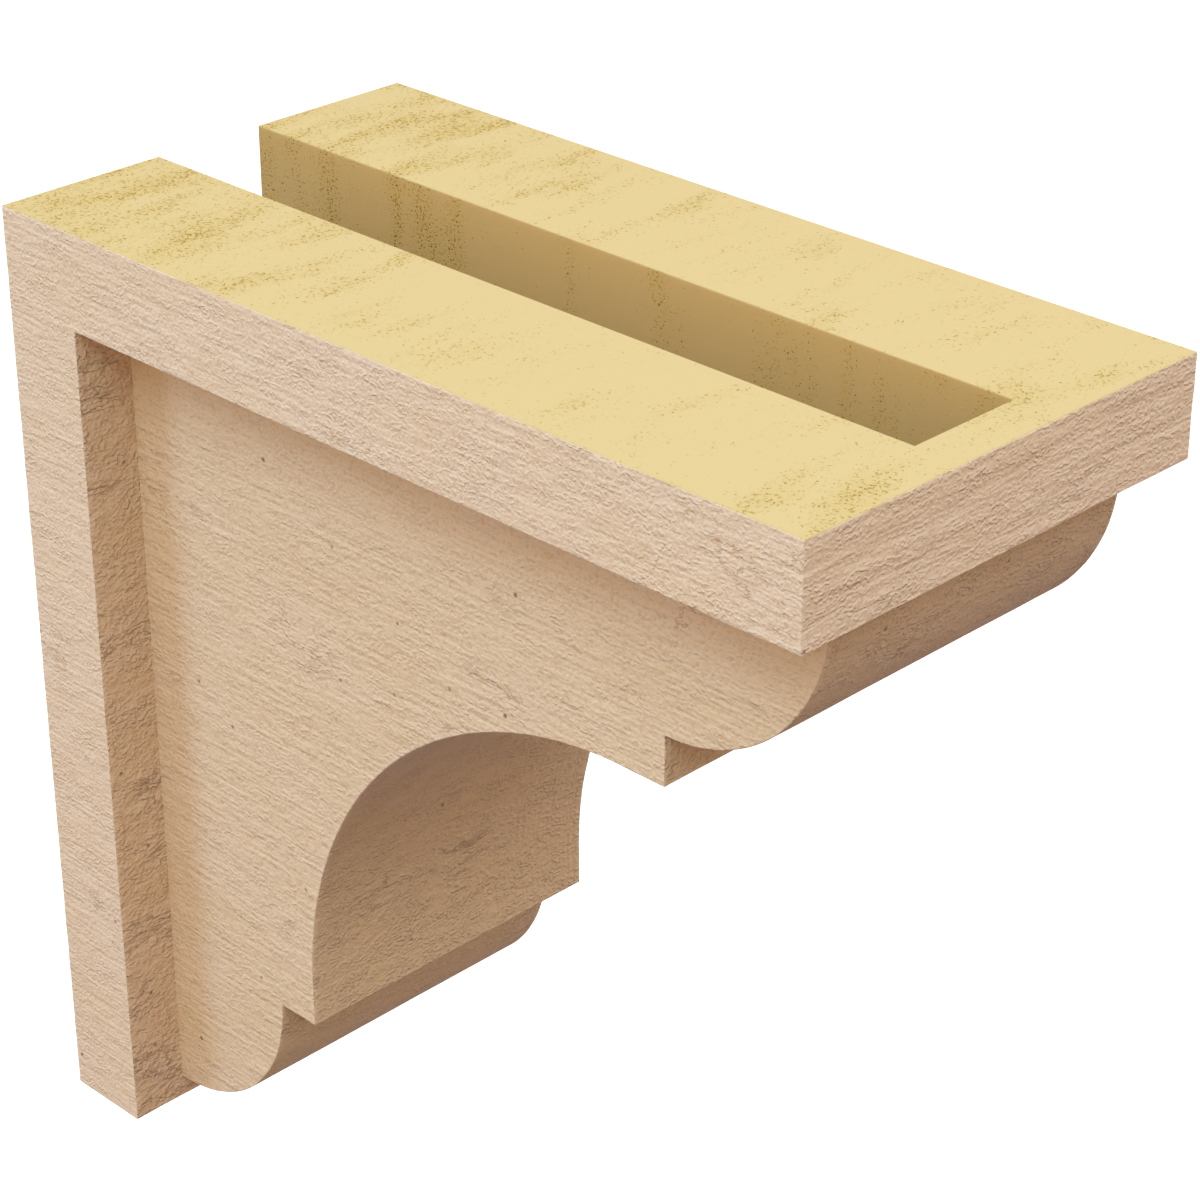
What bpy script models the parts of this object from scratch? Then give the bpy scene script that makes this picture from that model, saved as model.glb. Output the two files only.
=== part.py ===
"""Corbel in rigid polyurethane foam, one moulding with its back plate and its top plate.

Metres, +Z up. The wall is the plane y = 0 and the corbel stands out from it towards -Y. Its width runs along X,
the same on both sides of x = 0. The origin is the middle of the back face, which lies on the wall.
"""
import math

import bmesh
import bpy

INCH = 0.0254

# Plates: an L of one width and one thickness, as high as it stands out.
REACH = 10.0 * INCH
PLATE_WIDTH = 5.0 * INCH
PLATE_THICKNESS = 1.0 * INCH

# Body in the corner of the L. Its profile is the same read from the wall out and from the top down.
BODY_WIDTH = 3.75 * INCH
OVOLO_RADIUS = 1.75 * INCH
OVOLO_SETBACK = 0.25 * INCH
STEP = 0.5 * INCH
COVE_FLAT = 0.5 * INCH

# Slot for a hidden bracket: cut into the top face, open at the wall, closed before the front.
SLOT_WIDTH = 1.25 * INCH
SLOT_LENGTH = 9.5 * INCH
SLOT_DEPTH = 1.25 * INCH
CUT_MARGIN = 0.5 * INCH

OVOLO_SEGMENTS = 24
COVE_SEGMENTS = 48

COAT_COLOUR = (0.60, 0.44, 0.29, 1.0)
COAT_ROUGHNESS = 0.85

# Lines that the profile turns on, measured out from the wall and, alike, down from the top face.
SHELF_LINE = REACH - OVOLO_SETBACK - OVOLO_RADIUS
COVE_LINE = PLATE_THICKNESS + OVOLO_RADIUS + STEP
COVE_CENTRE = SHELF_LINE - COVE_FLAT
COVE_RADIUS = COVE_CENTRE - COVE_LINE


def clear_scene():
    """Remove every object that the new file starts with."""
    for obj in list(bpy.data.objects):
        bpy.data.objects.remove(obj, do_unlink=True)


def arc(centre_out, centre_down, radius, start, end, segments):
    """Points of an arc in (out, down), from angle start to angle end, where 0 is straight out and 90 straight down."""
    points = []
    for i in range(segments + 1):
        angle = math.radians(start + (end - start) * i / segments)
        points.append((centre_out + radius * math.cos(angle), centre_down + radius * math.sin(angle)))
    return points


def plates_outline():
    """Outline of the L of the two plates, in (out, down)."""
    return [
        (0.0, 0.0),
        (REACH, 0.0),
        (REACH, PLATE_THICKNESS),
        (PLATE_THICKNESS, PLATE_THICKNESS),
        (PLATE_THICKNESS, REACH),
        (0.0, REACH),
    ]


def body_outline():
    """Outline of the body: foot ovolo, step, cove, step and upper ovolo, closed off inside the plates."""
    inside = PLATE_THICKNESS / 2
    outline = [(inside, inside), (inside, SHELF_LINE + OVOLO_RADIUS)]
    outline += arc(PLATE_THICKNESS, SHELF_LINE, OVOLO_RADIUS, 90, 0, OVOLO_SEGMENTS)
    outline += [(COVE_LINE, SHELF_LINE)]
    outline += arc(COVE_CENTRE, COVE_CENTRE, COVE_RADIUS, 180, 270, COVE_SEGMENTS)
    outline += [(SHELF_LINE, COVE_LINE)]
    outline += arc(SHELF_LINE, PLATE_THICKNESS, OVOLO_RADIUS, 90, 0, OVOLO_SEGMENTS)
    outline += [(SHELF_LINE + OVOLO_RADIUS, inside)]
    return outline


def extrude_across(name, outline, width):
    """A closed solid with this outline in (out, down) on both ends, and this width along X."""
    mesh = bpy.data.meshes.new(name)
    bm = bmesh.new()
    ring = []
    for out, down in outline:
        ring.append(bm.verts.new((-width / 2, -out, REACH / 2 - down)))
    end_face = bm.faces.new(ring)
    swept = bmesh.ops.extrude_face_region(bm, geom=[end_face])
    moved = [item for item in swept["geom"] if isinstance(item, bmesh.types.BMVert)]
    bmesh.ops.translate(bm, verts=moved, vec=(width, 0.0, 0.0))
    bmesh.ops.recalc_face_normals(bm, faces=bm.faces)
    bm.to_mesh(mesh)
    bm.free()
    obj = bpy.data.objects.new(name, mesh)
    bpy.context.scene.collection.objects.link(obj)
    return obj


def slot_outline():
    """Outline of the slot's cutter, run past the back face and the top face."""
    return [
        (-CUT_MARGIN, -CUT_MARGIN),
        (SLOT_LENGTH, -CUT_MARGIN),
        (SLOT_LENGTH, SLOT_DEPTH),
        (-CUT_MARGIN, SLOT_DEPTH),
    ]


def add_boolean(target, operand, operation):
    """Join or cut the target with an operand, which stays in the file as a wire guide."""
    modifier = target.modifiers.new(operand.name, "BOOLEAN")
    modifier.operation = operation
    modifier.object = operand
    modifier.solver = "EXACT"
    operand.hide_render = True
    operand.display_type = "WIRE"


def coat_material():
    """Tan coat of the whole moulding."""
    material = bpy.data.materials.new("coated_foam")
    material.use_nodes = True
    shader = material.node_tree.nodes["Principled BSDF"]
    shader.inputs["Base Color"].default_value = COAT_COLOUR
    shader.inputs["Roughness"].default_value = COAT_ROUGHNESS
    shader.inputs["Metallic"].default_value = 0.0
    material.diffuse_color = COAT_COLOUR
    return material


def build_corbel():
    """The whole corbel: the plates, the body joined to them, and the slot cut out."""
    corbel = extrude_across("corbel", plates_outline(), PLATE_WIDTH)
    body = extrude_across("body_guide", body_outline(), BODY_WIDTH)
    slot = extrude_across("slot_cutter", slot_outline(), SLOT_WIDTH)
    add_boolean(corbel, body, "UNION")
    add_boolean(corbel, slot, "DIFFERENCE")
    corbel.data.materials.append(coat_material())
    return corbel


clear_scene()
build_corbel()
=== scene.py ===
"""Looks of a foam corbel: the moulding with its wood-look coat, its bare foam, and a plain studio.

Metres, +Z up. The wall is the plane y = 0 and the corbel stands out towards -Y. Places on its side are
given as (out, down): out from the wall and down from the top face.
"""
import math

import bmesh
import bpy
from bpy.props import FloatProperty, FloatVectorProperty, PointerProperty
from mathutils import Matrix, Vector, noise


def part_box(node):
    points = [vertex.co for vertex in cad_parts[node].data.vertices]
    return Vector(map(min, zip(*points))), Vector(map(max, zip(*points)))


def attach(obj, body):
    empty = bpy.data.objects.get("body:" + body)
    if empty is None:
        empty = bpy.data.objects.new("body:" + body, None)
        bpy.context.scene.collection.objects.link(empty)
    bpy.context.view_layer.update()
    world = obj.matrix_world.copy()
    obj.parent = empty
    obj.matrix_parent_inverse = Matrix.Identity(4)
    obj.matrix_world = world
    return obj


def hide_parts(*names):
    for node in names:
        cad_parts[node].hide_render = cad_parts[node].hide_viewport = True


bl_info = {
    "name": "Foam Corbel",
    "version": (1, 0, 0),
    "blender": (4, 5, 0),
    "location": "View3D > Sidebar > Corbel",
    "description": "Builds a wood-look foam corbel with a bracket slot, and a plain studio for it",
    "category": "Add Mesh",
}

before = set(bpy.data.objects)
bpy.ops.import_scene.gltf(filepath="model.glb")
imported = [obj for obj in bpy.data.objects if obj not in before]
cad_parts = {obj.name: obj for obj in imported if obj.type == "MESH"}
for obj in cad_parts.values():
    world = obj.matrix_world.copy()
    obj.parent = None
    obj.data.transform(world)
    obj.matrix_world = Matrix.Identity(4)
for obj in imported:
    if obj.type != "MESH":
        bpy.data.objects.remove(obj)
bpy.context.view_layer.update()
NODE_LOW, NODE_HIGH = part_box("corbel")

INCH = 0.0254
MM = 0.001
NEAR = 0.02 * MM
X, Y, Z = range(3)


def linear(hex_colour):
    """Linear RGBA of an sRGB hex colour."""
    channels = []
    for start in (1, 3, 5):
        value = int(hex_colour[start:start + 2], 16) / 255
        channels.append(value / 12.92 if value <= 0.04045 else ((value + 0.055) / 1.055) ** 2.4)
    return (*channels, 1.0)


# Sizes and colours that a user would change

class CorbelSizes(bpy.types.PropertyGroup):
    """Sizes of the moulding. The straight lines of its outline lie on whole cells of its mesh."""

    reach: FloatProperty(
        name="Reach", description="Height, and also how far the corbel stands out from the wall",
        default=NODE_HIGH.z - NODE_LOW.z, unit="LENGTH", precision=4)
    plate_width: FloatProperty(
        name="Plate width", description="Width of the back plate and of the top plate",
        default=NODE_HIGH.x - NODE_LOW.x, unit="LENGTH", precision=4)
    plate_thickness: FloatProperty(
        name="Plate thickness", description="Thickness of both plates",
        default=1.0 * INCH, unit="LENGTH", precision=4)
    body_width: FloatProperty(
        name="Body width", description="Width of the moulded body between the plates",
        default=3.75 * INCH, unit="LENGTH", precision=4)
    ovolo_radius: FloatProperty(
        name="Ovolo radius", description="Radius of the two quarter rounds",
        default=1.75 * INCH, unit="LENGTH", precision=4)
    ovolo_setback: FloatProperty(
        name="Ovolo setback", description="How far each ovolo ends short of its plate's end",
        default=0.25 * INCH, unit="LENGTH", precision=4)
    step: FloatProperty(
        name="Step", description="Width of the flat step between an ovolo and the cove",
        default=0.5 * INCH, unit="LENGTH", precision=4)
    cove_flat: FloatProperty(
        name="Cove flat", description="Straight run at each end of the cove",
        default=0.5 * INCH, unit="LENGTH", precision=4)
    slot_width: FloatProperty(
        name="Slot width", description="Width of the bracket slot in the top face",
        default=1.25 * INCH, unit="LENGTH", precision=4)
    slot_length: FloatProperty(
        name="Slot length", description="Length of the bracket slot, from the wall",
        default=9.5 * INCH, unit="LENGTH", precision=4)
    slot_depth: FloatProperty(
        name="Slot depth", description="Depth of the bracket slot",
        default=1.25 * INCH, unit="LENGTH", precision=4)
    cell: FloatProperty(
        name="Cell", description="Spacing of the mesh along the outline",
        default=INCH / 16, unit="LENGTH", precision=5)
    cell_across: FloatProperty(
        name="Cell across", description="Spacing of the mesh across the width",
        default=INCH * 5 / 64, unit="LENGTH", precision=5)
    arris: FloatProperty(
        name="Arris", description="Width of the soft rounding that the coat gives each arris",
        default=0.4 * MM, unit="LENGTH", precision=5)
    ridge_depth: FloatProperty(
        name="Ridge depth", description="Depth of the broad ridges of the coat",
        default=0.30 * MM, unit="LENGTH", precision=5)


class CorbelFinish(bpy.types.PropertyGroup):
    """Colours of the coat and of the foam."""

    coat: FloatVectorProperty(
        name="Coat", description="Tan of the coat",
        default=linear("#DEC8AE"), subtype="COLOR", size=4, min=0.0, max=1.0)
    # Paler, pinker tan: random pale patches on the body's sides, and the ground of the plates' outer sides
    # and ends, where it is painted light
    coat_pale: FloatVectorProperty(
        name="Coat, pale", description="Paler, pinker tan where the coat is thick",
        default=linear("#E1CCB6"), subtype="COLOR", size=4, min=0.0, max=1.0)
    # Painted light: the palest tan, in random patches on the plates' outer sides and ends
    lit_coat_palest: FloatVectorProperty(
        name="Coat, palest", description="Palest patches, on the plates' outer sides and ends",
        default=linear("#E3CFBD"), subtype="COLOR", size=4, min=0.0, max=1.0)
    # Painted shade: a redder, darker tan on the plates' inner faces, which lie in the shade of the plates
    # and the body
    shaded_coat_inner: FloatVectorProperty(
        name="Coat, inner", description="Slightly redder tan of the plates' inner faces",
        default=linear("#D8BEA3"), subtype="COLOR", size=4, min=0.0, max=1.0)
    shaded_coat_inner_pale: FloatVectorProperty(
        name="Coat, inner and pale", description="Paler patches of the plates' inner faces",
        default=linear("#DAC1AA"), subtype="COLOR", size=4, min=0.0, max=1.0)
    # Painted shade: a browner, darker tan on the cove, the ovolos and the steps
    shaded_coat_curved: FloatVectorProperty(
        name="Coat, curved", description="Slightly browner tan of the cove, the ovolos and the steps",
        default=linear("#CEB79C"), subtype="COLOR", size=4, min=0.0, max=1.0)
    shaded_coat_curved_pale: FloatVectorProperty(
        name="Coat, curved and pale", description="Paler patches of the cove, the ovolos and the steps",
        default=linear("#D1BBA3"), subtype="COLOR", size=4, min=0.0, max=1.0)
    # Painted shade: a browner tan in the hollows between the grains of sand and in the cracks
    coat_hollow_shade: FloatVectorProperty(
        name="Coat, deep", description="Browner tan between the grains of sand and in the cracks",
        default=linear("#C5A680"), subtype="COLOR", size=4, min=0.0, max=1.0)
    # Paler tan on the arrises: partly wear from rubbing, partly a painted highlight
    coat_rubbed_and_highlit: FloatVectorProperty(
        name="Coat, rubbed", description="Paler tan of the rubbed arrises",
        default=linear("#E8D8C6"), subtype="COLOR", size=4, min=0.0, max=1.0)
    # Painted shade: the dark brown inside each pinhole
    pinhole: FloatVectorProperty(
        name="Pinholes", description="Open pinholes in the coat",
        default=linear("#6E5640"), subtype="COLOR", size=4, min=0.0, max=1.0)
    foam: FloatVectorProperty(
        name="Foam", description="Yellow of the cut foam",
        default=linear("#C8B17E"), subtype="COLOR", size=4, min=0.0, max=1.0)
    # Painted shade: the foam in the slot is drawn darker and yellower than the same foam outside it
    shaded_foam_slot: FloatVectorProperty(
        name="Foam, slot", description="Deeper yellow of the foam in the slot",
        default=linear("#C1A571"), subtype="COLOR", size=4, min=0.0, max=1.0)
    foam_warm: FloatVectorProperty(
        name="Foam, warm", description="Warmer foam where its cells are larger",
        default=linear("#BFA050"), subtype="COLOR", size=4, min=0.0, max=1.0)
    foam_pit: FloatVectorProperty(
        name="Foam pits", description="Open cells of the foam",
        default=linear("#98762F"), subtype="COLOR", size=4, min=0.0, max=1.0)
    # Painted shade: the open cells in the slot are drawn darker than those outside it
    shaded_foam_slot_pit: FloatVectorProperty(
        name="Foam pits, slot", description="Darker open cells in the slot",
        default=linear("#75593A"), subtype="COLOR", size=4, min=0.0, max=1.0)


class CorbelStage(bpy.types.PropertyGroup):
    """Camera and light of the studio."""

    view_azimuth: FloatProperty(
        name="View azimuth", description="Side that the camera looks from, negative at the left",
        default=math.radians(-45.42), unit="ROTATION")
    view_elevation: FloatProperty(
        name="View elevation", description="How far the camera looks down",
        default=math.radians(27.56), unit="ROTATION")
    view_distance: FloatProperty(
        name="View distance", description="Distance of the camera from the point that it looks at",
        default=0.7694, unit="LENGTH")
    view_centre: FloatVectorProperty(
        name="View centre", description="Point that the camera looks at",
        default=(0.0, -0.13702, 0.04784), subtype="TRANSLATION", size=3)
    lens: FloatProperty(
        name="Lens", description="Focal length in mm, on a 36 mm sensor",
        default=98.36)
    floor_drop: FloatProperty(
        name="Floor drop", description="How far below the corbel's middle the floor lies",
        default=1.2, unit="LENGTH")
    overhead: FloatVectorProperty(
        name="Light from overhead", description="Colour and strength of the light from straight above",
        default=(1.06, 1.16, 1.44), subtype="COLOR", size=3, min=0.0, max=10.0)
    horizon: FloatVectorProperty(
        name="Light from around", description="Colour and strength of the light from the horizon",
        default=(1.05, 0.63, 0.08), subtype="COLOR", size=3, min=0.0, max=10.0)
    bounce: FloatVectorProperty(
        name="Light from below", description="Colour and strength of the light that comes back from below",
        default=(0.21, 0.16, 0.21), subtype="COLOR", size=3, min=0.0, max=10.0)
    window_light: FloatVectorProperty(
        name="Window light", description="Colour of the tall cool light behind, at the left",
        default=(0.45, 0.72, 1.0), subtype="COLOR", size=3, min=0.0, max=1.0)
    window_power: FloatProperty(
        name="Window power", description="Power of the tall cool light behind, at the left",
        default=6.6, unit="POWER")
    upper_light: FloatVectorProperty(
        name="Upper light", description="Colour of the small light at the upper left",
        default=(0.74, 1.0, 0.88), subtype="COLOR", size=3, min=0.0, max=1.0)
    upper_power: FloatProperty(
        name="Upper power", description="Power of the small light at the upper left",
        default=4.1, unit="POWER")
    left_light: FloatVectorProperty(
        name="Left light", description="Colour of the large warm light at the left",
        default=(1.0, 0.86, 0.53), subtype="COLOR", size=3, min=0.0, max=1.0)
    left_power: FloatProperty(
        name="Left power", description="Power of the large warm light at the left",
        default=1.9, unit="POWER")
    right_light: FloatVectorProperty(
        name="Right light", description="Colour of the large light at the upper right",
        default=(0.81, 0.98, 1.0), subtype="COLOR", size=3, min=0.0, max=1.0)
    right_power: FloatProperty(
        name="Right power", description="Power of the large light at the upper right",
        default=6.5, unit="POWER")
    backdrop: FloatVectorProperty(
        name="Backdrop", description="Pale colour that the camera sees behind the floor",
        default=linear("#FFFFFF"), subtype="COLOR", size=4, min=0.0, max=1.0)


# Places on the moulding

def shelf_line(sizes):
    """Line of each ovolo's step: out from the wall for the upper one, down from the top for the lower."""
    return sizes.reach - sizes.ovolo_setback - sizes.ovolo_radius


def cove_line(sizes):
    """Line on which each straight end of the cove lies."""
    return sizes.plate_thickness + sizes.ovolo_radius + sizes.step


def cove_centre(sizes):
    """Centre of the cove's arc, as far out as it is down."""
    return shelf_line(sizes) - sizes.cove_flat


def place(sizes, x, out, down):
    """Point at a place across the width, out from the wall and down from the top face."""
    return Vector((x, -out, sizes.reach / 2 - down))


def out_down(sizes, point):
    """How far a point is out from the wall and down from the top face."""
    return -point.y, sizes.reach / 2 - point.z


def cells(length, cell):
    """Number of mesh cells that a length holds."""
    return max(1, round(length / cell))


# Steps of modelling

def select_only(kind, test):
    """In edit mode, select the faces or the edges that pass a test, and nothing else."""
    bpy.ops.mesh.select_mode(type=kind)
    bpy.ops.mesh.select_all(action="DESELECT")
    mesh = bpy.context.edit_object.data
    bm = bmesh.from_edit_mesh(mesh)
    for item in bm.faces if kind == "FACE" else bm.edges:
        if test(item):
            item.select_set(True)
    bmesh.update_edit_mesh(mesh)


def middle(item):
    """Middle of a face or of an edge."""
    return sum((vert.co for vert in item.verts), Vector()) / len(item.verts)


def merge_doubles():
    """Merge the vertices of neighbouring patches."""
    bpy.ops.mesh.select_all(action="SELECT")
    bpy.ops.mesh.remove_doubles(threshold=NEAR)


def divide_edges_along(axis, length, cuts):
    """Divide every edge that runs the given length along an axis."""
    def runs(edge):
        span = edge.verts[1].co - edge.verts[0].co
        return abs(abs(span[axis]) - length) <= NEAR and span.length - length <= NEAR

    select_only("EDGE", runs)
    bpy.ops.mesh.subdivide(number_cuts=cuts)


def add_side_patch(sizes, low, high):
    """A flat grid that faces left on the body's side, between two corners given as (out, down)."""
    width = high[0] - low[0]
    height = high[1] - low[1]
    bpy.ops.mesh.primitive_grid_add(
        x_subdivisions=cells(width, sizes.cell), y_subdivisions=cells(height, sizes.cell), size=1.0,
        location=place(sizes, -sizes.body_width / 2, (low[0] + high[0]) / 2, (low[1] + high[1]) / 2),
        rotation=(math.radians(90), 0.0, math.radians(-90)))
    patch = bpy.context.object
    patch.scale = (width, height, 1.0)
    bpy.ops.object.transform_apply(location=True, rotation=True, scale=True)
    return patch


def add_ovolo_patch(sizes, centre):
    """A quarter disc on the body's left side: a square grid with two sides pressed out to the arc."""
    radius = sizes.ovolo_radius
    patch = add_side_patch(sizes, centre, (centre[0] + radius, centre[1] + radius))
    for vert in patch.data.vertices:
        out, down = out_down(sizes, vert.co)
        across = (out - centre[0]) / radius
        below = (down - centre[1]) / radius
        pressed_out = centre[0] + radius * across * math.sqrt(1 - below * below / 2)
        pressed_down = centre[1] + radius * below * math.sqrt(1 - across * across / 2)
        vert.co = place(sizes, vert.co.x, pressed_out, pressed_down)
    return patch


def cove_point(sizes, out, down):
    """Place on the cove, as (out, down), that faces a place on the plates' inner faces."""
    centre = cove_centre(sizes)
    radius = centre - cove_line(sizes)
    run = max(out, down)
    if run >= centre:
        near, far = cove_line(sizes), run
    else:
        # The inner corner faces the middle of the arc, 45 degrees round from each end
        turn = math.radians(45) * (centre - run) / (centre - sizes.plate_thickness)
        near, far = centre - radius * math.cos(turn), centre - radius * math.sin(turn)
    return (near, far) if down >= out else (far, near)


def draw_out_cove(sizes):
    """Extrude the plates' inner corner line to the cove, and divide what lies between."""
    inner = sizes.plate_thickness
    shelf = shelf_line(sizes)

    def on_inner_corner(edge):
        for vert in edge.verts:
            out, down = out_down(sizes, vert.co)
            if min(out, down) < inner - NEAR or max(out, down) > shelf + NEAR:
                return False
            if min(out, down) > inner + NEAR:
                return False
        return edge.is_boundary

    select_only("EDGE", on_inner_corner)
    bpy.ops.mesh.extrude_edges_indiv()
    mesh = bpy.context.edit_object.data
    bm = bmesh.from_edit_mesh(mesh)
    bm.verts.index_update()
    drawn = set()
    for vert in bm.verts:
        if vert.select:
            out, down = cove_point(sizes, *out_down(sizes, vert.co))
            vert.co = place(sizes, vert.co.x, out, down)
            drawn.add(vert.index)
    bpy.ops.mesh.select_all(action="DESELECT")
    bm = bmesh.from_edit_mesh(mesh)
    for edge in bm.edges:
        if (edge.verts[0].index in drawn) != (edge.verts[1].index in drawn):
            edge.select_set(True)
    bmesh.update_edit_mesh(mesh)
    bpy.ops.mesh.subdivide(number_cuts=cells(cove_line(sizes) - inner, sizes.cell) - 1)


def model_side(sizes):
    """The whole side of the moulding as one flat sheet of quads."""
    inner = sizes.plate_thickness
    patches = [
        add_side_patch(sizes, (0.0, 0.0), (sizes.reach, inner)),
        add_side_patch(sizes, (0.0, inner), (inner, sizes.reach)),
        add_ovolo_patch(sizes, (inner, shelf_line(sizes))),
        add_ovolo_patch(sizes, (shelf_line(sizes), inner)),
    ]
    bpy.ops.object.select_all(action="DESELECT")
    for patch in patches:
        patch.select_set(True)
    bpy.context.view_layer.objects.active = patches[0]
    bpy.ops.object.join()
    side = patches[0]
    bpy.ops.object.mode_set(mode="EDIT")
    merge_doubles()
    draw_out_cove(sizes)
    merge_doubles()
    bpy.ops.object.mode_set(mode="OBJECT")
    return side


def extrude_body(sizes):
    """Draw the side out across the body's width, in cells."""
    bpy.ops.mesh.select_mode(type="FACE")
    bpy.ops.mesh.select_all(action="SELECT")
    bpy.ops.mesh.extrude_region_move(TRANSFORM_OT_translate={"value": (sizes.body_width, 0.0, 0.0)})
    divide_edges_along(X, sizes.body_width, cells(sizes.body_width, sizes.cell_across) - 1)


def extrude_plate_wings(sizes, hand):
    """Draw the plates out past the body on one side; hand is -1 on the left and 1 on the right."""
    overhang = (sizes.plate_width - sizes.body_width) / 2

    def on_plates(face):
        centre = middle(face)
        if abs(centre.x - hand * sizes.body_width / 2) > NEAR or abs(face.normal.x) < 0.5:
            return False
        return min(out_down(sizes, centre)) < sizes.plate_thickness

    select_only("FACE", on_plates)
    bpy.ops.mesh.extrude_region_move(TRANSFORM_OT_translate={"value": (hand * overhang, 0.0, 0.0)})
    divide_edges_along(X, overhang, cells(overhang, sizes.cell_across) - 1)


def cut_slot(sizes):
    """Press the bracket slot into the top face, and open its end at the wall."""
    half = sizes.slot_width / 2

    def on_slot(face):
        centre = middle(face)
        out, down = out_down(sizes, centre)
        return down < NEAR and abs(centre.x) < half and out < sizes.slot_length

    def on_mouth(face):
        centre = middle(face)
        out, down = out_down(sizes, centre)
        return out < NEAR and abs(centre.x) < half and down < sizes.slot_depth

    select_only("FACE", on_slot)
    bpy.ops.mesh.extrude_region_move(TRANSFORM_OT_translate={"value": (0.0, 0.0, -sizes.slot_depth)})
    divide_edges_along(Z, sizes.slot_depth, cells(sizes.slot_depth, sizes.cell) - 1)
    select_only("FACE", on_mouth)
    bpy.ops.mesh.delete(type="FACE")
    merge_doubles()


# An arris turns by more than the first of these, and the faces of a curve meet at less than the second
ARRIS_TURN = math.radians(40)
SMOOTH_TURN = math.radians(50)


def is_outer_arris(edge):
    """True of an edge at which two faces meet in a sharp outer corner."""
    return len(edge.link_faces) == 2 and edge.calc_face_angle_signed() > ARRIS_TURN


def soften_arrises(sizes):
    """Round every outer arris a little, as a sprayed coat does."""
    bpy.ops.mesh.select_all(action="SELECT")
    bpy.ops.mesh.normals_make_consistent(inside=False)
    select_only("EDGE", is_outer_arris)
    bpy.ops.mesh.bevel(offset=sizes.arris, offset_type="OFFSET", segments=2, profile=0.5, affect="EDGES")


def mark_arrises(sizes, piece):
    """Note on each vertex whether it lies on a rounded arris, for the coat to be paler there as wear from
    rubbing and a painted highlight.
    """
    mark = piece.data.attributes.new("arris", "FLOAT", "POINT")
    for edge in piece.data.edges:
        ends = [piece.data.vertices[index] for index in edge.vertices]
        if (ends[0].co - ends[1].co).length < sizes.arris:
            for index in edge.vertices:
                mark.data[index].value = 1.0


# Faces of each finish, in the order of the moulding's materials
COAT_EDGES, COAT_SIDES, COAT_ENDS, COAT_INNER, COAT_MOULDING, FOAM_TOP, FOAM_SLOT, FOAM_BACK = range(8)


def finish_of(sizes, centre, normal):
    """Which finish a face has, from its place and the way that it faces."""
    out, down = out_down(sizes, centre)
    in_slot = abs(centre.x) < sizes.slot_width / 2 + NEAR and out < sizes.slot_length + NEAR
    if in_slot and NEAR < down < sizes.slot_depth + NEAR:
        return FOAM_SLOT
    if out < NEAR:
        return FOAM_BACK
    if down < NEAR:
        return FOAM_TOP
    if abs(normal.x) > 0.5:
        return COAT_SIDES if abs(centre.x) < sizes.body_width / 2 + NEAR else COAT_EDGES
    if min(out, down) < sizes.plate_thickness - NEAR:
        return COAT_ENDS
    return COAT_INNER if min(out, down) < sizes.plate_thickness + NEAR else COAT_MOULDING


def share_out_finishes(sizes, piece):
    """Give each face the number of its finish."""
    for face in piece.data.polygons:
        face.material_index = finish_of(sizes, face.center, face.normal)


def ridges(point, axis, width, length):
    """Height from 0 to 1 of ridges of a given width that run for a given length along an axis."""
    scaled = Vector((point.x / width, point.y / width, point.z / width))
    scaled[axis] = point[axis] / length
    falloff, gap, octaves = 1.0, 2.0, 2
    middle_height, swing = 0.5, 0.6
    return min(1.0, max(0.0, middle_height + swing * noise.fractal(scaled, falloff, gap, octaves)))


# Broad relief of each coat: its share of the ridge depth, the axis that its ridges run along, and how wide
# and how long they are
BROAD_RELIEF = {
    COAT_EDGES: (0.8, Y, 5.5 * MM, 9 * MM),
    COAT_SIDES: (0.6, Y, 5.5 * MM, 12 * MM),
    COAT_ENDS: (1.0, X, 5.0 * MM, 20 * MM),
    COAT_INNER: (1.1, X, 6.0 * MM, 9 * MM),
    COAT_MOULDING: (0.4, X, 7.0 * MM, 20 * MM),
}


def press_relief(sizes, piece):
    """Press the ridges of the coat into its faces. The bare foam is cut flat, so it has none."""
    bm = bmesh.new()
    bm.from_mesh(piece.data)
    bm.normal_update()
    moves = []
    for vert in bm.verts:
        depth = 0.0
        for finish, (amount, axis, width, length) in BROAD_RELIEF.items():
            share = sum(face.material_index == finish for face in vert.link_faces) / len(vert.link_faces)
            if share:
                depth += share * amount * (1 - ridges(vert.co, axis, width, length))
        moves.append(vert.normal * (-depth * sizes.ridge_depth))
    for vert, move in zip(bm.verts, moves):
        vert.co += move
    bm.to_mesh(piece.data)
    bm.free()


# Materials

# Sockets of a Mix node that mixes colours go by number, because several of them have one name
SHARE, FIRST, SECOND, MIXED = 0, 6, 7, 2


def add_node(material, kind, inputs, **settings):
    """Add a node; an input given another node's output is linked, and any other is set."""
    tree = material.node_tree
    node = tree.nodes.new(kind)
    for setting, value in settings.items():
        setattr(node, setting, value)
    for socket, value in inputs.items():
        if isinstance(value, bpy.types.NodeSocket):
            tree.links.new(value, node.inputs[socket])
        else:
            node.inputs[socket].default_value = value
    return node


def per_metre(x_size, y_size, z_size):
    """Scale that makes one unit of a pattern these sizes in metres."""
    return (1 / x_size, 1 / y_size, 1 / z_size)


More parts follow.
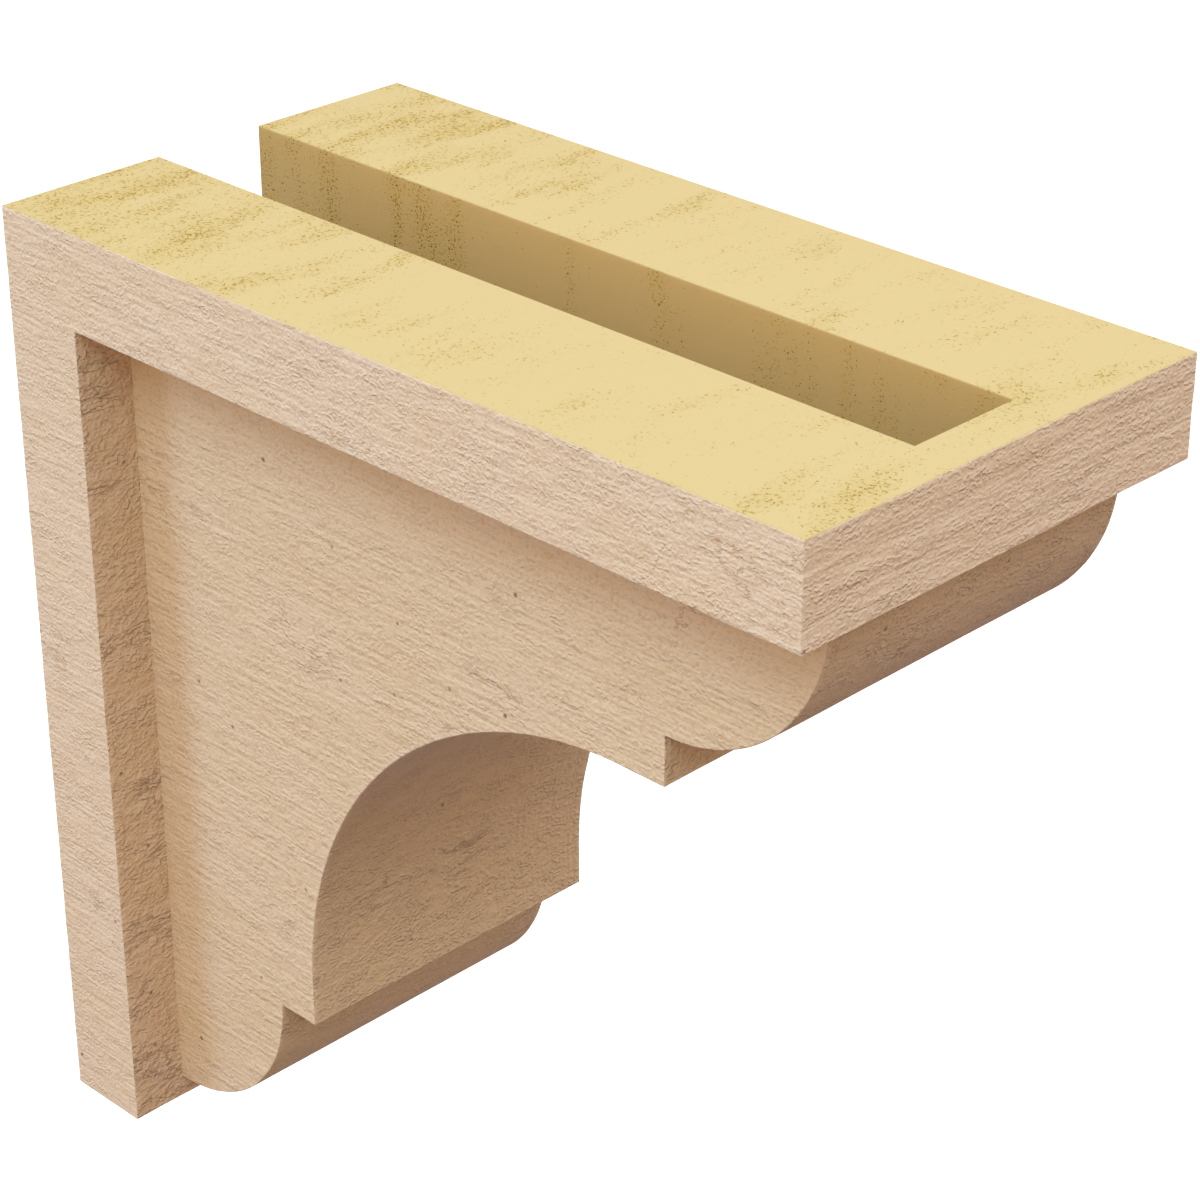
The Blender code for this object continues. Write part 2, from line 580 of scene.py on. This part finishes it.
# Fine relief of each coat. The heights are in millimetres, of patterns that run from 0 to 1, and the fibre
# sizes are along X, Y and Z. The fibres have sharp crests where the crest level is 0.5 and round ones where
# it is 0. Cracks open where the slow drift of the tan is over the sound share.
EDGES_RELIEF = {
    "grain_axis": Y, "sand": 0.115, "sand_length": 1.0 * MM,
    "fibres": 0.28, "fibre_sizes": (1.2 * MM, 16 * MM, 1.2 * MM), "crest_level": 0.0,
    "lumps": 0.50, "lump_length": 5 * MM, "cracks": 0.08, "sound": 0.58}
SIDES_RELIEF = {
    "grain_axis": Y, "sand": 0.11, "sand_length": 1.1 * MM,
    "fibres": 0.36, "fibre_sizes": (1.2 * MM, 16 * MM, 1.2 * MM), "crest_level": 0.0,
    "lumps": 0.50, "lump_length": 6 * MM, "cracks": 0.10, "sound": 0.57}
ENDS_RELIEF = {
    "grain_axis": X, "sand": 0.15, "sand_length": 1.0 * MM,
    "fibres": 0.16, "fibre_sizes": (14 * MM, 1.2 * MM, 1.2 * MM), "crest_level": 0.0,
    "lumps": 0.72, "lump_length": 22 * MM, "cracks": 0.10, "sound": 0.58}
INNER_RELIEF = {
    "grain_axis": X, "sand": 0.20, "sand_length": 1.0 * MM,
    "fibres": 0.18, "fibre_sizes": (4 * MM, 1.2 * MM, 1.2 * MM), "crest_level": 0.5,
    "lumps": 1.15, "lump_length": 4 * MM, "cracks": 0.26, "sound": 0.50}
MOULDING_RELIEF = {
    "grain_axis": X, "sand": 0.23, "sand_length": 1.0 * MM,
    "fibres": 0.40, "fibre_sizes": (1.2 * MM, 9 * MM, 9 * MM), "crest_level": 0.0,
    "lumps": 0.80, "lump_length": 5 * MM, "cracks": 0.30, "sound": 0.54}

# Width and length of the coat's other patterns. A real grain of sand is about half a millimetre wide, which
# is too fine to show in the render, so it is drawn 0.8 mm wide.
SAND_WIDTH = 0.80 * MM
LUMP_WIDTH = 3.2 * MM
CRACK_SIZE = (7 * MM, 30 * MM)
TONE_SIZE = (22 * MM, 45 * MM)
PATCH_SIZE = (6 * MM, 11 * MM)
HOLE_SPACING = 13 * MM

# How high the sand stands where it is lowest and highest, as shares of its height in the relief
LOW_SAND, HIGH_SAND = 0.5, 1.7

# Depth of a pinhole in millimetres, and how much of the paler tan an arris shows, as wear from rubbing and
# a painted highlight
HOLE_DEPTH = 0.3
RUBBED_AND_HIGHLIGHT_SHARE = 0.3


def coat_material(name, finish, colour, pale, relief):
    """Sand-textured coat on a moulded foam blank.

    A water-based texture coat is sprayed on the foam and dries matt and pebbled, with grains of sand about
    half a millimetre wide. The mould's wood grain shows through it as fibres, low lumps and a few cracks.
    The coat is a little paler on the arrises, as wear from rubbing and a painted highlight, and it carries
    painted shade in the hollows between its grains, in its cracks and in its pinholes.
    """
    material = bpy.data.materials.new(name)
    material.use_nodes = True
    shader = material.node_tree.nodes["Principled BSDF"]
    place_on_piece = add_node(material, "ShaderNodeTexCoord", {}).outputs["Object"]

    def grain(width, length):
        sizes = [width, width, width]
        sizes[relief["grain_axis"]] = length
        return per_metre(*sizes)

    # Grains of sand, drawn wider than real ones so that they show
    sand_place = add_node(material, "ShaderNodeMapping", {
        "Vector": place_on_piece, "Scale": grain(SAND_WIDTH, relief["sand_length"])}).outputs["Vector"]
    sand = add_node(material, "ShaderNodeTexNoise", {
        "Vector": sand_place, "Scale": 1.0, "Detail": 0.0}).outputs["Fac"]
    grains = add_node(material, "ShaderNodeMapRange", {
        "Value": sand, "From Min": 0.46, "From Max": 0.74},
        interpolation_type="SMOOTHSTEP").outputs["Result"]
    # Hollows between the grains, where the tan is browner as painted shade
    pock_shade = add_node(material, "ShaderNodeMapRange", {
        "Value": sand, "From Min": 0.20, "From Max": 0.42, "To Min": 0.5, "To Max": 0.0}).outputs["Result"]
    # Fibres of the wood grain
    fibre_place = add_node(material, "ShaderNodeMapping", {
        "Vector": place_on_piece, "Scale": per_metre(*relief["fibre_sizes"])}).outputs["Vector"]
    fibre_noise = add_node(material, "ShaderNodeTexNoise", {
        "Vector": fibre_place, "Scale": 1.0, "Detail": 0.5, "Roughness": 0.5}).outputs["Fac"]
    off_crest = add_node(material, "ShaderNodeMath", {
        0: fibre_noise, 1: relief["crest_level"]}, operation="SUBTRACT").outputs["Value"]
    hollows = add_node(material, "ShaderNodeMath", {
        0: off_crest}, operation="ABSOLUTE").outputs["Value"]
    # Lumps where the coat lies thicker
    lump_place = add_node(material, "ShaderNodeMapping", {
        "Vector": place_on_piece, "Scale": grain(LUMP_WIDTH, relief["lump_length"])}).outputs["Vector"]
    lumps = add_node(material, "ShaderNodeTexNoise", {
        "Vector": lump_place, "Scale": 1.0, "Detail": 2.0, "Roughness": 0.6,
        "Distortion": 0.2}).outputs["Fac"]
    # A few cracks along the grain: thin lines where a slow pattern passes its middle
    crack_place = add_node(material, "ShaderNodeMapping", {
        "Vector": place_on_piece, "Scale": grain(*CRACK_SIZE)}).outputs["Vector"]
    crack_noise = add_node(material, "ShaderNodeTexNoise", {
        "Vector": crack_place, "Scale": 1.0, "Detail": 5.0, "Roughness": 0.6,
        "Distortion": 0.3}).outputs["Fac"]
    crack_middle = add_node(material, "ShaderNodeMath", {
        0: crack_noise, 1: 0.5}, operation="SUBTRACT").outputs["Value"]
    crack_distance = add_node(material, "ShaderNodeMath", {
        0: crack_middle}, operation="ABSOLUTE").outputs["Value"]
    crack_line = add_node(material, "ShaderNodeMapRange", {
        "Value": crack_distance, "From Max": 0.010, "To Min": 1.0, "To Max": 0.0}).outputs["Result"]
    # Slow drift of the tan, which also says where the cracks open
    tone_place = add_node(material, "ShaderNodeMapping", {
        "Vector": place_on_piece, "Scale": grain(*TONE_SIZE)}).outputs["Vector"]
    tone = add_node(material, "ShaderNodeTexNoise", {
        "Vector": tone_place, "Scale": 1.0, "Detail": 2.0, "Roughness": 0.5}).outputs["Fac"]
    crack_share = add_node(material, "ShaderNodeMapRange", {
        "Value": tone, "From Min": relief["sound"], "From Max": relief["sound"] + 0.06}).outputs["Result"]
    cracks = add_node(material, "ShaderNodeMath", {
        0: crack_line, 1: crack_share}, operation="MULTIPLY").outputs["Value"]
    # Pinholes, a few to a face and about a millimetre wide
    hole_place = add_node(material, "ShaderNodeMapping", {
        "Vector": place_on_piece, "Scale": grain(HOLE_SPACING, HOLE_SPACING)}).outputs["Vector"]
    hole_distance = add_node(material, "ShaderNodeTexVoronoi", {
        "Vector": hole_place, "Scale": 1.0}).outputs["Distance"]
    hole = add_node(material, "ShaderNodeMapRange", {
        "Value": hole_distance, "From Min": 0.02, "From Max": 0.065, "To Min": 0.75, "To Max": 0.0},
        interpolation_type="SMOOTHSTEP").outputs["Result"]

    # Patches where the sand stands higher
    patch_place = add_node(material, "ShaderNodeMapping", {
        "Vector": place_on_piece, "Scale": grain(*PATCH_SIZE)}).outputs["Vector"]
    patch_noise = add_node(material, "ShaderNodeTexNoise", {
        "Vector": patch_place, "Scale": 1.0, "Detail": 2.0, "Roughness": 0.6}).outputs["Fac"]
    sandiness = add_node(material, "ShaderNodeMapRange", {
        "Value": patch_noise, "From Min": 0.38, "From Max": 0.66,
        "To Min": LOW_SAND * relief["sand"], "To Max": HIGH_SAND * relief["sand"]}).outputs["Result"]

    # Heights in millimetres, added from the finest to the broadest
    height = add_node(material, "ShaderNodeMath", {
        0: grains, 1: sandiness}, operation="MULTIPLY").outputs["Value"]
    layers = [
        (hollows, -relief["fibres"]),
        (lumps, relief["lumps"]),
        (cracks, -relief["cracks"]),
        (hole, -HOLE_DEPTH),
    ]
    for pattern, amount in layers:
        height = add_node(material, "ShaderNodeMath", {
            0: pattern, 1: amount, 2: height}, operation="MULTIPLY_ADD").outputs["Value"]
    bump = add_node(material, "ShaderNodeBump", {
        "Height": height, "Strength": 1.0, "Distance": MM}).outputs["Normal"]

    # The tan: paler in patches, browner with painted shade in the hollows and cracks, palest on the arrises
    # as wear from rubbing and a painted highlight, and dark with painted shade in the pinholes
    pale_share = add_node(material, "ShaderNodeMapRange", {
        "Value": tone, "From Min": 0.35, "From Max": 0.65}).outputs["Result"]
    ground = add_node(material, "ShaderNodeMix", {
        SHARE: pale_share, FIRST: tuple(colour), SECOND: tuple(pale)}, data_type="RGBA").outputs[MIXED]
    # Painted shade: browner tan in the hollows between the grains and in the cracks
    hollow_shade_share = add_node(material, "ShaderNodeMath", {
        0: pock_shade, 1: cracks}, operation="MAXIMUM").outputs["Value"]
    hollow_shaded = add_node(material, "ShaderNodeMix", {
        SHARE: hollow_shade_share, FIRST: ground, SECOND: tuple(finish.coat_hollow_shade)},
        data_type="RGBA").outputs[MIXED]
    # Paler tan on the arrises: wear from rubbing and a painted highlight
    arris = add_node(material, "ShaderNodeAttribute", {}, attribute_name="arris").outputs["Fac"]
    rub_and_highlight = add_node(material, "ShaderNodeMath", {
        0: arris, 1: RUBBED_AND_HIGHLIGHT_SHARE}, operation="MULTIPLY").outputs["Value"]
    rubbed_and_highlit = add_node(material, "ShaderNodeMix", {
        SHARE: rub_and_highlight, FIRST: hollow_shaded, SECOND: tuple(finish.coat_rubbed_and_highlit)}, data_type="RGBA").outputs[MIXED]
    # Painted shade: the pinholes are dark brown inside
    holed = add_node(material, "ShaderNodeMix", {
        SHARE: hole, FIRST: rubbed_and_highlit, SECOND: tuple(finish.pinhole)}, data_type="RGBA").outputs[MIXED]

    material.node_tree.links.new(holed, shader.inputs["Base Color"])
    material.node_tree.links.new(bump, shader.inputs["Normal"])
    shader.inputs["Roughness"].default_value = 0.9
    shader.inputs["IOR"].default_value = 1.45
    shader.inputs["Specular IOR Level"].default_value = 0.25
    return material


# Clusters of open cells on each face of bare foam: their sizes along X, Y and Z, and how much more crowded
# the cells are in the middle of the corbel's reach and towards its two ends
TOP_CLUSTERS = {"sizes": (32 * MM, 10 * MM, 14 * MM), "middle": -0.12, "ends": 0.07}
SLOT_CLUSTERS = {"sizes": (9 * MM, 9 * MM, 45 * MM), "middle": -0.10, "ends": 0.07}
BACK_CLUSTERS = {"sizes": (40 * MM, 10 * MM, 10 * MM), "middle": -0.04, "ends": -0.04}

# How far out from the wall that middle is, and how far from it the crowding starts and stops to grow
MIDDLE_OUT = 165 * MM
CROWDING_START = 50 * MM
CROWDING_END = 130 * MM

# Sizes and depth of an open cell. Real cells are a few tenths of a millimetre wide, which is too fine to
# show in the render, so they are drawn 0.7 mm wide.
CELL_SIZES = (0.72 * MM, 0.7 * MM, 0.7 * MM)
CELL_DEPTH = 0.18 * MM

# How much the crowding counts beside the pattern of the cells themselves
CROWDING_WEIGHT = 0.6


def foam_material(name, finish, ground, pit, clusters):
    """Bare rigid polyurethane foam, trimmed flat with a hot blade.

    The cut face is smooth and matt, with pale dense skin between clusters of open cells, which look like
    golden pits. The clusters are drawn out along the way that the foam rose in the mould.
    """
    material = bpy.data.materials.new(name)
    material.use_nodes = True
    shader = material.node_tree.nodes["Principled BSDF"]
    place_on_piece = add_node(material, "ShaderNodeTexCoord", {}).outputs["Object"]

    # Where the cells are crowded: streaks drawn out with the rise of the foam, and more towards its ends
    cluster_place = add_node(material, "ShaderNodeMapping", {
        "Vector": place_on_piece, "Scale": per_metre(*clusters["sizes"])}).outputs["Vector"]
    cluster_noise = add_node(material, "ShaderNodeTexNoise", {
        "Vector": cluster_place, "Scale": 1.0, "Detail": 3.0, "Roughness": 0.5,
        "Distortion": 0.2}).outputs["Fac"]
    towards_wall = add_node(material, "ShaderNodeSeparateXYZ", {"Vector": place_on_piece}).outputs["Y"]
    off_middle = add_node(material, "ShaderNodeMath", {
        0: towards_wall, 1: MIDDLE_OUT}, operation="ADD").outputs["Value"]
    to_an_end = add_node(material, "ShaderNodeMath", {
        0: off_middle}, operation="ABSOLUTE").outputs["Value"]
    end_share = add_node(material, "ShaderNodeMapRange", {
        "Value": to_an_end, "From Min": CROWDING_START, "From Max": CROWDING_END,
        "To Min": clusters["middle"], "To Max": clusters["ends"]}).outputs["Result"]
    crowding = add_node(material, "ShaderNodeMath", {
        0: cluster_noise, 1: end_share}, operation="ADD").outputs["Value"]
    # The open cells: specks that stand closer where they are crowded, drawn wider than real ones to show
    pit_place = add_node(material, "ShaderNodeMapping", {
        "Vector": place_on_piece, "Scale": per_metre(*CELL_SIZES)}).outputs["Vector"]
    pit_noise = add_node(material, "ShaderNodeTexNoise", {
        "Vector": pit_place, "Scale": 1.0, "Detail": 1.0, "Roughness": 0.6}).outputs["Fac"]
    openness = add_node(material, "ShaderNodeMath", {
        0: crowding, 1: CROWDING_WEIGHT, 2: pit_noise}, operation="MULTIPLY_ADD").outputs["Value"]
    shallow = add_node(material, "ShaderNodeMapRange", {
        "Value": openness, "From Min": 0.92, "From Max": 1.07}).outputs["Result"]
    deep = add_node(material, "ShaderNodeMapRange", {
        "Value": openness, "From Min": 1.01, "From Max": 1.14}).outputs["Result"]
    # Warmer ground between crowded cells, for the cells there that are too fine to draw
    veil = add_node(material, "ShaderNodeMapRange", {
        "Value": crowding, "From Min": 0.46, "From Max": 0.72, "To Max": 0.33}).outputs["Result"]
    warmth = add_node(material, "ShaderNodeMath", {
        0: shallow, 1: veil}, operation="MAXIMUM").outputs["Value"]

    warmed = add_node(material, "ShaderNodeMix", {
        SHARE: warmth, FIRST: tuple(ground), SECOND: tuple(finish.foam_warm)},
        data_type="RGBA").outputs[MIXED]
    pitted = add_node(material, "ShaderNodeMix", {
        SHARE: deep, FIRST: warmed, SECOND: tuple(pit)}, data_type="RGBA").outputs[MIXED]
    height = add_node(material, "ShaderNodeMath", {
        0: 1.0, 1: shallow}, operation="SUBTRACT").outputs["Value"]
    bump = add_node(material, "ShaderNodeBump", {
        "Height": height, "Strength": 1.0, "Distance": CELL_DEPTH}).outputs["Normal"]

    material.node_tree.links.new(pitted, shader.inputs["Base Color"])
    material.node_tree.links.new(bump, shader.inputs["Normal"])
    shader.inputs["Roughness"].default_value = 0.95
    shader.inputs["IOR"].default_value = 1.45
    shader.inputs["Specular IOR Level"].default_value = 0.2
    return material


# Operators

class CORBEL_OT_moulding(bpy.types.Operator):
    """Model the corbel as one foam moulding, press in its relief and coat it"""

    bl_idname = "corbel.moulding"
    bl_label = "Corbel moulding"

    def execute(self, context):
        sizes = context.scene.corbel_sizes
        finish = context.scene.corbel_finish
        bpy.ops.object.select_all(action="DESELECT")
        piece = model_side(sizes)
        bpy.ops.object.mode_set(mode="EDIT")
        extrude_body(sizes)
        extrude_plate_wings(sizes, -1)
        extrude_plate_wings(sizes, 1)
        cut_slot(sizes)
        bpy.ops.mesh.select_all(action="SELECT")
        bpy.ops.mesh.normals_make_consistent(inside=False)
        bpy.ops.object.mode_set(mode="OBJECT")

        piece.name = "corbel_moulding"
        piece.data.name = "corbel_moulding"
        piece.data.materials.clear()
        # Each coat's ground: the plates' outer sides and ends get the paler tans as painted light, and the
        # plates' inner faces and the moulding get the darker tans as painted shade
        coats = [
            ("sprayed_coat_edges", finish.coat_pale, finish.lit_coat_palest, EDGES_RELIEF),
            ("sprayed_coat_sides", finish.coat, finish.coat_pale, SIDES_RELIEF),
            ("sprayed_coat_ends", finish.coat_pale, finish.lit_coat_palest, ENDS_RELIEF),
            ("sprayed_coat_inner", finish.shaded_coat_inner, finish.shaded_coat_inner_pale, INNER_RELIEF),
            ("sprayed_coat_moulding", finish.shaded_coat_curved, finish.shaded_coat_curved_pale, MOULDING_RELIEF),
        ]
        for name, colour, pale, relief in coats:
            piece.data.materials.append(coat_material(name, finish, colour, pale, relief))
        # The slot's foam and its open cells are drawn darker, as painted shade
        foams = [
            ("trimmed_foam_top", finish.foam, finish.foam_pit, TOP_CLUSTERS),
            ("trimmed_foam_slot", finish.shaded_foam_slot, finish.shaded_foam_slot_pit, SLOT_CLUSTERS),
            ("trimmed_foam_back", finish.foam, finish.foam_pit, BACK_CLUSTERS),
        ]
        for name, ground, pit, clusters in foams:
            piece.data.materials.append(foam_material(name, finish, ground, pit, clusters))
        share_out_finishes(sizes, piece)
        bpy.ops.object.mode_set(mode="EDIT")
        soften_arrises(sizes)
        bpy.ops.object.mode_set(mode="OBJECT")
        mark_arrises(sizes, piece)
        press_relief(sizes, piece)

        bpy.ops.object.shade_smooth_by_angle(angle=SMOOTH_TURN)
        weighting = piece.modifiers.new("weighting", "WEIGHTED_NORMAL")
        weighting.keep_sharp = True
        bpy.ops.object.modifier_apply(modifier=weighting.name)
        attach(piece, "root")
        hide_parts("corbel")
        return {"FINISHED"}


def point_towards(obj, target):
    """Turn a camera or a light so that it looks at a point."""
    obj.rotation_euler = (Vector(target) - obj.location).to_track_quat("-Z", "Y").to_euler()


def from_direction(centre, azimuth, elevation, distance):
    """Place at a distance from a centre, on the side and at the height that a view's two angles give."""
    return Vector(centre) + distance * Vector((
        math.sin(azimuth) * math.cos(elevation),
        -math.cos(azimuth) * math.cos(elevation),
        math.sin(elevation),
    ))


FLOOR_SIZE = 40.0
SOFTBOX_DISTANCE = 1.3
SENSOR_WIDTH = 36.0

# The softboxes: name, width and height in metres, and in degrees the side and the height that the light
# comes from
SOFTBOXES = [
    ("window", 0.36, 1.4, -135, 28),
    ("upper", 0.5, 0.5, -60, 50),
    ("left", 1.2, 1.2, -80, -5),
    ("right", 1.2, 1.2, 66, 39),
]


class CORBEL_OT_stage(bpy.types.Operator):
    """Add the pale floor, the soft studio light and the camera"""

    bl_idname = "corbel.stage"
    bl_label = "Studio"

    def execute(self, context):
        scene = context.scene
        stage = scene.corbel_stage
        scene.view_settings.view_transform = "Standard"
        scene.view_settings.look = "None"

        bpy.ops.object.select_all(action="DESELECT")
        bpy.ops.mesh.primitive_plane_add(size=FLOOR_SIZE, location=(0.0, 0.0, -stage.floor_drop))
        floor = context.object
        floor.name = "studio_floor"
        # A table of opal acrylic, lit from behind so that it stays white
        table = bpy.data.materials.new("opal_acrylic_table")
        table.use_nodes = True
        shader = table.node_tree.nodes["Principled BSDF"]
        shader.inputs["Base Color"].default_value = linear("#FBFBFA")
        shader.inputs["Roughness"].default_value = 0.95
        shader.inputs["Emission Color"].default_value = linear("#FBFBFA")
        shader.inputs["Emission Strength"].default_value = 0.4
        floor.data.materials.append(table)
        # The world's light from below stands for what the table throws back
        floor.visible_diffuse = False

        world = bpy.data.worlds.new("studio_light")
        world.use_nodes = True
        scene.world = world
        background = world.node_tree.nodes["Background"]
        # Light on the corbel from overhead, from around and from below
        direction = add_node(world, "ShaderNodeTexCoord", {}).outputs["Generated"]
        upward = add_node(world, "ShaderNodeSeparateXYZ", {"Vector": direction}).outputs["Z"]
        high = add_node(world, "ShaderNodeMapRange", {
            "Value": upward, "From Min": 0.1, "From Max": 0.9},
            interpolation_type="SMOOTHSTEP").outputs["Result"]
        above = add_node(world, "ShaderNodeMapRange", {
            "Value": upward, "From Min": -0.1, "From Max": 0.1},
            interpolation_type="SMOOTHSTEP").outputs["Result"]
        upper = add_node(world, "ShaderNodeMix", {
            SHARE: high, FIRST: (*stage.horizon, 1.0), SECOND: (*stage.overhead, 1.0)},
            data_type="RGBA").outputs[MIXED]
        light = add_node(world, "ShaderNodeMix", {
            SHARE: above, FIRST: (*stage.bounce, 1.0), SECOND: upper}, data_type="RGBA").outputs[MIXED]
        # The camera itself sees the plain backdrop
        seen = add_node(world, "ShaderNodeLightPath", {}).outputs["Is Camera Ray"]
        shown = add_node(world, "ShaderNodeMix", {
            SHARE: seen, FIRST: light, SECOND: tuple(stage.backdrop)}, data_type="RGBA").outputs[MIXED]
        world.node_tree.links.new(shown, background.inputs["Color"])

        for name, width, height, azimuth, elevation in SOFTBOXES:
            light_data = bpy.data.lights.new(name + "_softbox", "AREA")
            light_data.shape = "RECTANGLE"
            light_data.size = width
            light_data.size_y = height
            light_data.color = getattr(stage, name + "_light")
            light_data.energy = getattr(stage, name + "_power")
            softbox = bpy.data.objects.new(name + "_softbox", light_data)
            scene.collection.objects.link(softbox)
            softbox.location = from_direction(
                stage.view_centre, math.radians(azimuth), math.radians(elevation), SOFTBOX_DISTANCE)
            point_towards(softbox, stage.view_centre)

        camera_data = bpy.data.cameras.new("camera")
        camera_data.lens = stage.lens
        camera_data.sensor_width = SENSOR_WIDTH
        camera = bpy.data.objects.new("camera", camera_data)
        scene.collection.objects.link(camera)
        camera.location = from_direction(
            stage.view_centre, stage.view_azimuth, stage.view_elevation, stage.view_distance)
        point_towards(camera, stage.view_centre)
        scene.camera = camera
        return {"FINISHED"}


class CORBEL_PT_panel(bpy.types.Panel):
    """Sizes, finish and studio of the corbel"""

    bl_idname = "CORBEL_PT_panel"
    bl_label = "Foam Corbel"
    bl_space_type = "VIEW_3D"
    bl_region_type = "UI"
    bl_category = "Corbel"

    def draw(self, context):
        scene = context.scene
        for group in (scene.corbel_sizes, scene.corbel_finish, scene.corbel_stage):
            box = self.layout.box()
            for name in group.__annotations__:
                box.prop(group, name)
        self.layout.operator(CORBEL_OT_moulding.bl_idname)
        self.layout.operator(CORBEL_OT_stage.bl_idname)


CLASSES = (CorbelSizes, CorbelFinish, CorbelStage, CORBEL_OT_moulding, CORBEL_OT_stage, CORBEL_PT_panel)


def register():
    """Register the classes, and hang the settings on the scene."""
    for cls in CLASSES:
        bpy.utils.register_class(cls)
    bpy.types.Scene.corbel_sizes = PointerProperty(type=CorbelSizes)
    bpy.types.Scene.corbel_finish = PointerProperty(type=CorbelFinish)
    bpy.types.Scene.corbel_stage = PointerProperty(type=CorbelStage)


def unregister():
    """Take the settings and the classes away again."""
    del bpy.types.Scene.corbel_stage
    del bpy.types.Scene.corbel_finish
    del bpy.types.Scene.corbel_sizes
    for cls in reversed(CLASSES):
        bpy.utils.unregister_class(cls)


def main():
    """Build the corbel and its studio."""
    register()
    bpy.ops.corbel.moulding()
    bpy.ops.corbel.stage()


if __name__ == "__main__":
    main()
